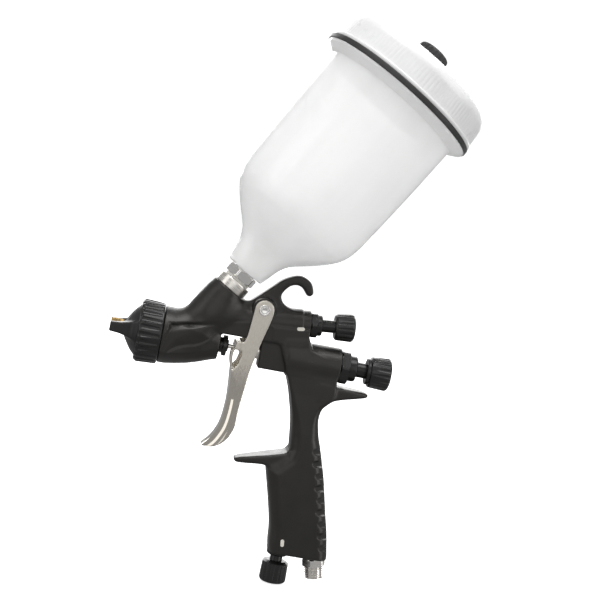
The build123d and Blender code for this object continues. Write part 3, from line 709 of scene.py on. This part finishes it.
def grip_form(f):
    """Handle with its finger rest, the prong that sits on the hand, and the finger grooves."""
    x, y, z = f.x, f.y, f.z
    upper = [(-47.6, 137.4), (-50.2, 143.7), (-51.5, 148), (-50, 154), (-35.4, 156), (-33.2, 150),
             (-12, 141.5)]
    half_foot = 12.4
    half = np.interp(z, [95, 120, 138, 154], [half_foot, 11.4, 11.2, 9.7]) + 0 * x
    edge = np.interp(z, [92, 124], [7.6, 1.5]) + 0 * x
    grip = f.plate(GRIP_FRONT + upper + GRIP_REAR, half, edge)
    grip = rounded_meet(grip, 14.0 - z, 0.8)
    grooves, top_groove, pitch, radius = 9, 85.0, 7.8, 2.2
    for count in range(grooves):
        groove_z = top_groove - pitch * count
        rear = np.interp(groove_z, *zip(*sorted((pz, px) for px, pz in GRIP_REAR)))
        depth = 3.1 if count % 2 else 2.4
        inward = ((x - rear) + (y - half_foot)) / sqrt(2) + depth
        sideways = ((x - rear) - (y - half_foot)) / sqrt(2)
        groove = np.hypot(z - groove_z, inward) - radius
        grip = cut(grip, rounded_meet(groove, abs(sideways) - 7, 0.5), 0.5)
    rest = spline([(-34, 81.4), (-37, 79.8), (-50.2, 76.0), (-64.2, 72.2)]) + spline(
        [(-64.2, 72.2), (-67.2, 70.9), (-67.9, 69.6), (-66.8, 68.4), (-63.5, 68.3), (-49.5, 70.0),
         (-44, 69)])[1:]
    half = np.interp(x, [-68, -60, -46], [5.4, 7.2, 9.6])
    rest = f.plate(rest + [(-34, 66)], half, 1.7)
    prong = spline([(-16, 130), (-11.9, 128.6), (3.3, 128.0), (9.0, 127.4), (10.6, 126.2),
                    (9.4, 124.4), (3.3, 122.9), (-6.2, 120.8), (-12.5, 118.8), (-18, 117)])
    half = np.interp(x, [-12, 0, 10], [10.4, 8.2, 5.6])
    prong = f.plate(prong + [(-24, 117), (-24, 130)], half, 2.0)
    inlet = f.round(INLET, [(14, 8.6), (34, 8.6)], 0.7)
    return join(join(join(grip, rest, 3.0), prong, 2.0), inlet, 2.0)


BORES = (  # axis, first station, last station, radius
    (SPRAY, -139, -124, 13.5),    # air chamber with the baffle ring
    (SPRAY, -125, -116.5, 5.95),  # fluid nozzle's thread
    (SPRAY, -117, -104.5, 3.2),   # paint passage round the needle
    (SPRAY, -104.6, -91, 4.15),   # needle packing and its nut
    (CUP, -57, -14, 3.2),         # paint passage down from the cup
    (CUP, -22, -14, 8.0),         # fluid inlet collar
    (SPRAY, -67, -59, 5.0),       # air valve guide
    (SPRAY, -60, -40, 6.5),       # air valve's seat and outlet
    (SPRAY, -46.0, -11, 8.1),     # springs and fluid control bush
    (AIR_CONTROL, 10, 41, 6.0),   # air control bush
    (AIR_CONTROL, 40, 50, 4.0),   # air way above the air control's cone
    (INLET, 10, 42, 4.4),         # air way from the inlet
    (INLET, 10, 24.5, 5.5),       # air inlet fitting
    (FAN, -27, 1, 4.6),           # fan valve's cone
    (FAN, -12, 1, 6.5),           # fan valve bush
)


def bored(f, form):
    """Opens the passages that the running parts sit in."""
    for line, start, end, radius in BORES:
        form = np.maximum(form, -f.bore(line, start, end, radius))
    return form


def make_body():
    """The whole forging as one skin, with its passages open."""
    f = Field((-140, 12), (13, 198), 20, 0.5)
    form = join(body_form(f), grip_form(f), 2.0)
    ring_thread = f.round(SPRAY, [(-138.6, 16.4), (-128, 16.4)], 0.6)
    form = join(form, ring_thread, 0.2)
    body = thinned(skin("gun_casting", f, bored(f, form)), 190000)
    replace(body, "gun_body handle hanging_hook", BLACK_CAST, sharp=70)


# ------------------------------------------------------------------ other pieces
TRIGGER_FRONT = spline([(-81.4, 127.6), (-80.6, 114.0), (-80.5, 103.0), (-81.9, 91.0),
                        (-86.0, 81.6), (-91.0, 75.9)])
TRIGGER_REAR = spline([(-90.4, 75.4), (-83.6, 76.7), (-78.4, 80.0), (-74.8, 84.4)]) + spline(
    [(-74.8, 84.4), (-72.2, 92.0), (-71.9, 103.0), (-70.6, 117.0), (-69.2, 131.0),
     (-65.6, 149.0), (-62.5, 162.0), (-61.4, 168.6)])[1:]
TRIGGER_ARM_FRONT = [(-75.2, 152.0), (-76.6, 147.2), (-81.2, 146.6), (-81.9, 141.6),
                     (-77.2, 141.0), (-76.8, 137.0), (-77.8, 132.6), (-80.0, 129.4)]


def trigger_form(f):
    """Two flat arms on the pivot that run down into one rounded channel for the fingers."""
    x, y, z = f.x, f.y, f.z
    half_width, wall, crown_radius, hole_radius = 12.2, 1.8, 6.3, 2.56
    pivot = Vector(JOINTS["trigger_pull"]["pos_m"]) / MM
    crown = [(pivot.x + crown_radius * cos(a), pivot.z + crown_radius * sin(a))
             for a in (radians(-10 + 20 * step) for step in range(11))]
    side = f.outline(TRIGGER_REAR + crown + TRIGGER_ARM_FRONT + TRIGGER_FRONT)
    lug = f.plate([(-81.8, 141.7), (-81.1, 146.6), (-78.6, 146.8), (-78.6, 141.7)], half_width, 0.4)
    wide = f.outline([(-91, 180), (-91, 136), (-82.2, 131)] + TRIGGER_FRONT
                     + [(-91, 60), (-50, 60), (-50, 180)])
    corner = np.interp(z, [110, 127], [8.2, 0.6]) + 0 * x
    front = rounded_meet(wide, abs(y) - half_width, corner)
    shell = cut(meet(front, side, 0.5), front + wall, 0.5)
    band = spline([(-81.5, 142.2), (-83.1, 139.4), (-83.4, 136.4), (-82.8, 132.0), (-81.2, 127.6)])
    strap = f.plate(band + [(px + 1.7, pz) for px, pz in reversed(band)], 6.0, 0.4)
    form = join(join(shell, lug, 0.8), strap, 0.6)
    needle_z, needle_gap = 142.6, 1.85
    slot = rounded_meet(np.maximum(x + 77.5, abs(z - needle_z) - 3.6) + 0 * y,
                        abs(y) - needle_gap, 0.1)
    form = cut(form, slot, 0.2)
    hole = np.hypot(x - pivot.x, z - pivot.z) - hole_radius
    return np.maximum(form, -hole)


def make_trigger():
    """The trigger's form as one skin."""
    f = Field((-93, 73), (-59, 178), 13.2, 0.36)
    trigger = thinned(skin("trigger_stamping", f, trigger_form(f)), 120000)
    replace(trigger, "trigger", TRIGGER_STEEL, sharp=60)


def air_cap_form(f):
    """Cone with two slim horns that grow out of it, and their angled air holes."""
    x, y, z = f.x, f.y, f.z
    axis_z = SPRAY.foot.z / MM
    cone = f.round(SPRAY, [(-153.0, 5.4), (-151.8, 7.4), (-150.0, 10.3), (-147.8, 13.4), (-144.9, 16.4),
                           (-141.4, 16.4), (-141.4, 18.2), (-138.9, 18.2)], 0.2)
    lean = np.interp(x, [-162.6, -151.0, -145.0], [11.4, 10.2, 9.6])
    thick = np.interp(x, [-162.6, -155.0, -148.0], [1.9, 3.2, 5.0])
    across = abs(y - lean) - thick
    tall = abs(z - axis_z - 0.4) - np.interp(x, [-162.6, -156, -150], [3.1, 3.6, 5.0])
    horn_middle, horn_half_length = -154.3, 8.3
    horn = rounded_meet(rounded_meet(across, tall, 0.8), abs(x - horn_middle) - horn_half_length, 0.5)
    form = join(cone, horn, 6.0)
    hollow = f.round(SPRAY, [(-151.0, 4.4), (-148.6, 8.2), (-146.2, 11.6), (-143.6, 14.4),
                             (-138.0, 15.8)], 0.1)
    form = np.maximum(form, -hollow)
    fluid_hole_radius, air_hole_radius = 1.9, 0.8
    form = np.maximum(form, -f.bore(SPRAY, -156, -148, fluid_hole_radius))
    for station, reach in ((-159.6, 2.2), (-156.6, 2.6)):
        leaning_x = station + 0.35 * (y - 9)
        hole = np.hypot(x - leaning_x, z - axis_z) - air_hole_radius
        form = np.maximum(form, -np.maximum(hole, abs(y - 8.0) - reach))
    return form


def make_air_cap():
    """The cap, black outside, with bare brass on the faces of the horns that look at each other."""
    f = Field((-165, 121), (-136, 163), 20, 0.3)
    cap = thinned(skin("air_cap_shell", f, air_cap_form(f)), 110000)
    replace(cap, "air_cap", BLACK_CAP, sharp=60)
    cap.data.materials.append(BRASS)
    horn_length = 11.2 * MM
    horn_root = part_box("air_cap")[0].x + horn_length
    for polygon in cap.data.polygons:
        middle = polygon.center - SPRAY.foot
        middle.x = 0
        inner_face = polygon.normal.dot(middle.normalized()) < -0.25
        if inner_face and polygon.center.x < horn_root:
            polygon.material_index = 1


def make_ring():
    """Air cap ring: a slightly tapered grip with flutes, hollow for the cap and the body's thread."""
    flutes = 26
    outer = [(-144.6, 16.65), (-144.6, 18.9), (-142.9, 20.55)]
    ribs = [(-142.9 + 0.4 * i, 20.55 - 0.022 * i) for i in range(1, 32)]
    rear = [(-130.1, 19.85), (-129.45, 19.0), (-129.45, 16.5), (-136.8, 16.5), (-136.8, 18.4),
            (-141.7, 18.4), (-141.7, 16.65), (-144.6, 16.65)]
    profile = rounded(outer, 0.35)[:-1] + ribs + rounded([ribs[-1]] + rear, 0.25)[1:]
    ring = lathe("cap_ring_fluted", SPRAY, profile, flutes * 24,
                 fluted(flutes, 21.7, 2.3, -145.5, -131.2, blend=0.6))
    replace(ring, "air_cap_ring", BLACK_TURNED, sharp=40)


def knob(name, node, line, front, back, stem, count, centre, groove, start):
    """Fluted knob: front is its face towards the gun, back its rounded end, stem its shaft.

    The flutes begin at station start and run out past the knob's end.
    """
    main = rows_between(front[-1][0], back[0][0], front[-1][1], 0.35)
    slope = (back[0][1] - front[-1][1]) / (back[0][0] - front[-1][0])
    main = [(s, r + slope * (s - front[-1][0])) for s, r in main]
    profile = rounded(stem + front, 0.3)[:-1] + main + back
    past_the_end = start + 60
    piece = lathe(name, line, profile, count * 16,
                  fluted(count, centre, groove, start, past_the_end))
    replace(piece, node, BLACK_TURNED, sharp=50)


def rounded_end(station, radius, reach, inner):
    """Quarter ellipse from a knob's edge to its flat end."""
    points = []
    for step in range(1, 9):
        t = step / 8 * pi / 2
        points.append((station + reach * sin(t), inner + (radius - inner) * cos(t)))
    return points


def make_knobs():
    knob("fluid_knob_fluted", "fluid_knob", SPRAY,
         [(6.5, 5.3), (6.5, 8.3), (6.9, 8.7), (8.5, 8.7), (9.0, 10.0), (9.6, 10.2)],
         [(20.2, 10.85)] + rounded_end(20.2, 10.85, 2.4, 7.4) + [(22.6, 0)],
         stem=[(-6.8, 0), (-6.8, 3.0), (16.5, 3.0), (16.5, 5.3)],
         count=18, centre=11.6, groove=1.5, start=9.6)
    knob("fan_knob_fluted", "fan_knob", FAN,
         [(16.2, 4.1), (16.2, 7.6), (17.4, 8.7)],
         [(27.0, 9.05)] + rounded_end(27.0, 9.05, 2.5, 5.8) + [(29.5, 0)],
         stem=[(-12.2, 0), (-12.2, 4.1), (-4.8, 4.1), (-4.8, 2.95), (-3.2, 2.95), (-3.2, 4.1)],
         count=16, centre=9.8, groove=1.4, start=17.6)
    knob("air_knob_fluted", "air_control_knob", flipped(AIR_CONTROL),
         [(-7.4, 4.1), (-7.4, 6.4), (-6.2, 8.6)],
         [(5.2, 8.85)] + rounded_end(5.2, 8.85, 2.1, 5.8) + [(7.3, 0)],
         stem=[(-32.8, 0), (-32.8, 4.1), (-25.8, 4.1), (-25.8, 2.95), (-24.2, 2.95),
               (-24.2, 4.1)],
         count=16, centre=9.6, groove=1.4, start=-6.0)


def make_bushes():
    """Threaded bushes and the packing nut: (piece, node, axis, width over flats, profile)."""
    hexes = (
        ("fluid_bush_turned", "fluid_control_bush", SPRAY, 20.6,
         [(-22, 5.15), (-22, 8.05), (-11.4, 8.05), (-11.4, 10.3), (-10.6, 11.7), (-6.2, 11.7),
          (-5.4, 10.3), (-5.4, 8.4), (-1.0, 8.4), (-0.3, 7.8), (-0.3, 5.0), (12.0, 5.0), (12.0, 3.15),
          (-5.6, 3.15), (-5.6, 5.15), (-22, 5.15)]),
        ("fan_bush_turned", "fan_valve_bush", FAN, 15.4,
         [(-11.8, 4.25), (-11.8, 6.45), (0.2, 6.45), (0.2, 7.8), (0.9, 8.8), (4.0, 8.8), (4.7, 7.8),
          (4.7, 6.8), (7.2, 6.8), (7.8, 6.2), (7.8, 4.25), (-11.8, 4.25)]),
        ("air_bush_turned", "air_control_bush", AIR_CONTROL, 14.6,
         [(32, 4.25), (32, 5.95), (18.7, 5.95), (18.7, 7.5), (18.1, 8.3), (15.2, 8.3), (14.6, 7.4),
          (14.6, 7.1), (12.2, 7.1), (11.2, 6.2), (11.2, 4.25), (32, 4.25)]),
        ("packing_nut_turned", "packing_nut", SPRAY, 13.0,
         [(-98, 1.6), (-98, 4.05), (-91.4, 4.05), (-91.4, 5.0), (-89.3, 5.0), (-89.3, 6.6),
          (-88.8, 7.4), (-86.9, 7.4), (-86.4, 6.6), (-86.4, 3.8), (-85.5, 3.8), (-85.5, 1.6),
          (-98, 1.6)]),
    )
    for name, node, line, flats, points in hexes:
        piece = lathe(name, line, rounded(points, 0.3), 144, hexagonal(flats, pi / 2))
        replace(piece, node, BLACK_TURNED, sharp=28)


def make_cup_hardware():
    """Stainless collar in the body's boss, and the polished hexagon under the cup."""
    collar = [(-21.5, 4.65), (-21.5, 7.95), (-15, 7.95), (-15, 10.4), (-14.6, 10.7), (-8.8, 10.7),
              (-8.0, 10.0), (-8.0, 8.0), (-14.6, 8.0), (-14.6, 4.65), (-21.5, 4.65)]
    piece = lathe("inlet_collar_turned", CUP, rounded(collar, 0.3), 128)
    replace(piece, "fluid_inlet_collar", COLLAR_STEEL)
    fitting = [(-14.0, 4.5), (-14.0, 7.3), (-13.4, 7.85), (-8.6, 7.85), (-8.4, 6.6), (-6.5, 6.6),
               (-6.5, 9.6), (-5.7, 10.7), (-1.3, 10.7), (-0.5, 9.6), (-0.5, 7.45), (10.0, 7.45),
               (10.0, 4.5), (-14.0, 4.5)]
    piece = lathe("cup_fitting_hexagon", CUP, rounded(fitting, 0.25), 144,
                  hexagonal(19.0, radians(12)))
    replace(piece, "cup_fitting", POLISHED_STEEL, sharp=28)


def make_cup():
    """Translucent cup with its wall's real thickness, neck, bowl and brim."""
    outer = [(0, 7.65), (0, 12.2), (0.3, 12.9), (0.9, 13.3)]
    bowl = spline([(0.9, 13.3), (7, 14.8), (14, 16.6), (19, 19.0), (23, 22.3), (29, 28.8), (36, 35.8),
                   (42, 40.8), (46, 43.3), (52, 45.5), (60, 46.7)])
    wall = [(80, 47.6), (100, 48.3), (120, 48.8), (141, 49.2)]
    brim = rounded([(141, 49.2), (143.2, 49.3), (143.6, 50.6), (146.9, 56.4), (148.0, 56.95),
                    (150, 56.95), (150, 46.9), (146, 46.7)], 0.5)[1:]
    inner = spline([(60, 44.2), (52, 43.0), (45, 40.0), (37, 33.2), (30, 25.6), (24.6, 20.2),
                    (19, 16.0), (15, 14.0), (9, 12.8), (3, 12.2)])
    profile = outer + bowl[1:] + wall + brim + [(120, 46.3), (100, 45.8), (80, 45.1)] + inner
    profile += [(3, 7.65), (0, 7.65)]
    cup = lathe("cup_moulded", CUP, profile, 160)
    replace(cup, "cup_wall cup_funnel", CUP_NYLON, sharp=50)


def lid_ribs(station, radius, angle):
    """Fine shallow grip lines round the lid's skirt."""
    bottom, top, least_radius, lines, depth = 155, 168, 54.5, 120, 0.16
    if radius < least_radius or not bottom < station < top:
        return radius
    fade = min(1.0, (station - bottom) / 1.0, (top - station) / 3.0)
    return radius - depth * fade * (0.5 + 0.5 * cos(lines * angle)) ** 2


def make_lid():
    """Lid with its gasket and the vent knob."""
    flutes = 16
    skirt = rounded([(152.1, 46.1), (152.1, 56.9), (153.9, 57.15), (154.5, 56.5), (156, 56.45)], 0.35)
    ribs = [(155 + 0.6 * i, 56.45 - 0.05 * i) for i in range(2, 18)]
    crown = spline([(165.2, 55.6), (167.6, 55.3), (170.4, 54.3), (172.8, 52.4), (174.6, 49.8),
                    (175.6, 46.5)], 3)
    inside = [(175.9, 40), (175.95, 12), (175.4, 9.5), (175.4, 6.3), (173.2, 6.3), (173.2, 45.6),
              (170.6, 48.6), (157.0, 48.6), (157.0, 44.4), (141.0, 44.4), (141.0, 46.0),
              (152.1, 46.1)]
    lid = lathe("lid_moulded", CUP, skirt[:-1] + ribs + crown[1:] + rounded(inside, 0.3), 960,
                lid_ribs)
    replace(lid, "cup_lid", LID_NYLON, sharp=60)
    band = rounded([(150.1, 47.5), (152.0, 47.5), (152.0, 57.2), (151.6, 57.65), (148.6, 57.65),
                    (148.2, 57.15), (150.1, 57.1), (150.1, 47.5)], 0.25)
    gasket = lathe("gasket_band", CUP, band, 192)
    replace(gasket, "lid_gasket", RUBBER)
    vent = [(170.8, 0), (170.8, 6.1), (176.3, 6.1), (176.3, 10.2), (177.2, 11.0)]
    vent = rounded(vent, 0.3) + rows_between(177.6, 185.4, 11.0, 0.4)
    vent += rounded_end(185.4, 11.0, 2.7, 7.6) + [(188.1, 7.0), (187.6, 6.2), (187.6, 0)]
    knob_piece = lathe("vent_knob_fluted", CUP, vent, flutes * 16,
                       fluted(flutes, 11.7, 1.5, 178.0, 200))
    replace(knob_piece, "lid_vent_knob", RUBBER, sharp=50)


def make_inlet():
    """Nickel-plated fitting with a real helical thread and a spanner hexagon."""
    pitch, depth, crest = 1.337, 0.80, 6.56
    hexagon = hexagonal(14.0, radians(14))

    def shape(station, radius, angle):
        if 0.0 < station < 7.1 and radius > 5.9:
            turn = (station / pitch + angle / (2 * pi)) % 1.0
            return radius - depth * min(1.0, abs(2 * turn - 1) * 1.25)
        if 8.0 <= station <= 13.4 and radius > 6.5:
            return hexagon(station, radius, angle)
        return radius

    thread = rows_between(0.6, 7.0, crest, 0.11)
    profile = [(13.4, 4.05), (0.4, 4.05), (0, 4.3), (0, 5.8)] + thread
    profile += rounded([(7.2, 5.75), (8.0, 5.75), (8.0, 6.9), (8.7, 7.9), (12.7, 7.9), (13.4, 6.9),
                        (13.4, 5.35), (24.0, 5.35), (24.0, 4.05), (13.4, 4.05)], 0.2)
    piece = lathe("inlet_fitting_threaded", INLET, profile, 96, shape)
    replace(piece, "air_inlet_fitting", INLET_NICKEL, sharp=28)


def make_pivot():
    """Turned head of the trigger's pin, with a dished centre."""
    joint = JOINTS["trigger_pull"]
    line = Line(joint["pos_m"], (0, -1, 0))
    line.side = Vector((1, 0, 0))
    line.up = Vector((0, 0, 1))
    head = [(-13.5, 0), (-13.5, 2.45), (12.35, 2.45), (12.35, 3.6), (13.1, 3.6), (13.4, 3.3),
            (13.4, 2.9), (12.9, 2.7), (12.9, 2.3), (13.3, 2.0), (13.2, 1.0), (13.0, 0)]
    piece = lathe("pivot_pin_turned", line, rounded(head, 0.12), 64)
    replace(piece, "trigger_pivot_pin", POLISHED_STEEL)


# ------------------------------------------------------------------ camera, light and floor
CAMERA_AT = (-0.1515, -0.8660, 0.2464)
CAMERA_LOOKS_AT = (-0.0453, 0.0, 0.1795)
CAMERA_ROLL = radians(11.33)
CAMERA_LENS = 80.77


def aim(obj, target, up=Vector((0, 0, 1))):
    """Turns an object so that its -Z looks at target."""
    forward = (Vector(target) - obj.location).normalized()
    right = forward.cross(up).normalized()
    above = right.cross(forward)
    obj.rotation_euler = Matrix((right, above, -forward)).transposed().to_euler()


def make_camera():
    """Camera at the side of the gun, rolled so that the nozzle points a little up."""
    data = bpy.data.cameras.new("camera")
    data.lens = CAMERA_LENS
    data.sensor_width = 36.0
    camera = bpy.data.objects.new("camera", data)
    bpy.context.scene.collection.objects.link(camera)
    camera.location = CAMERA_AT
    aim(camera, CAMERA_LOOKS_AT, Vector((-sin(CAMERA_ROLL), 0, cos(CAMERA_ROLL))))
    bpy.context.scene.camera = camera


def soft_box(name, place, size, brightness):
    """Area light aimed at the gun, as bright to look at as brightness."""
    data = bpy.data.lights.new(name, "AREA")
    data.shape = "RECTANGLE"
    data.size, data.size_y = size
    data.energy = brightness * pi * data.size * data.size_y
    light = bpy.data.objects.new(name, data)
    bpy.context.scene.collection.objects.link(light)
    light.location = place
    aim(light, (CAD_BOX[0] + CAD_BOX[1]) / 2)


def make_floor():
    """White paper that stays as white as the backdrop all the way to the horizon."""
    half, z = 60.0, CAD_BOX[0].z - 0.0005
    mesh = bpy.data.meshes.new("floor")
    corners = [(-half, -half, z), (half, -half, z), (half, half, z), (-half, half, z)]
    mesh.from_pydata(corners, [], [(0, 1, 2, 3)])
    n = Nodes("floor_paper")
    n.set(Base_Color=n.mix(n.ramp(n.noise(3, 2), 0, 1), grey(0.80), grey(0.84)), Roughness=0.9,
          Specular_IOR_Level=0.1, Emission_Color=grey(1.0), Emission_Strength=0.80)
    mesh.materials.append(n.material)
    floor = new_object("floor", mesh)
    floor.visible_diffuse = False
    floor.visible_glossy = False


BACKDROP_WHITE = 1.1
EVEN_LIGHT = 0.36


def make_world():
    """White behind the gun for the camera, and a dimmer even light on the gun itself."""
    world = bpy.data.worlds.new("studio")
    bpy.context.scene.world = world
    world.use_nodes = True
    tree = world.node_tree
    light_path = tree.nodes.new("ShaderNodeLightPath")
    seen = tree.nodes.new("ShaderNodeMath")
    seen.operation = "MAXIMUM"
    tree.links.new(light_path.outputs["Is Camera Ray"], seen.inputs[0])
    tree.links.new(light_path.outputs["Is Transmission Ray"], seen.inputs[1])
    strength = tree.nodes.new("ShaderNodeMapRange")
    tree.links.new(seen.outputs[0], strength.inputs["Value"])
    strength.inputs["To Min"].default_value = EVEN_LIGHT
    strength.inputs["To Max"].default_value = BACKDROP_WHITE
    background = tree.nodes["Background"]
    background.inputs["Color"].default_value = grey(1.0)
    tree.links.new(strength.outputs["Result"], background.inputs["Strength"])
    bpy.context.scene.view_settings.view_transform = "Standard"


def make_studio():
    """Floor, then each soft box: its place, its size and its brightness."""
    make_floor()
    soft_box("front", (-0.15, -2.2, 0.75), (2.2, 1.5), 0.62)
    soft_box("top", (0.0, -0.45, 1.7), (2.0, 0.9), 3.7)
    soft_box("left", (-1.7, -0.7, 0.6), (0.9, 1.8), 1.05)
    soft_box("right", (1.5, -0.9, 0.5), (0.7, 1.8), 2.4)
    soft_box("back", (0.2, 1.7, 0.9), (2.2, 1.4), 3.4)
    make_world()


make_camera()
make_studio()
dress_carried_over()
make_body()
make_trigger()
make_air_cap()
make_ring()
make_knobs()
make_bushes()
make_cup_hardware()
make_cup()
make_lid()
make_inlet()
make_pivot()
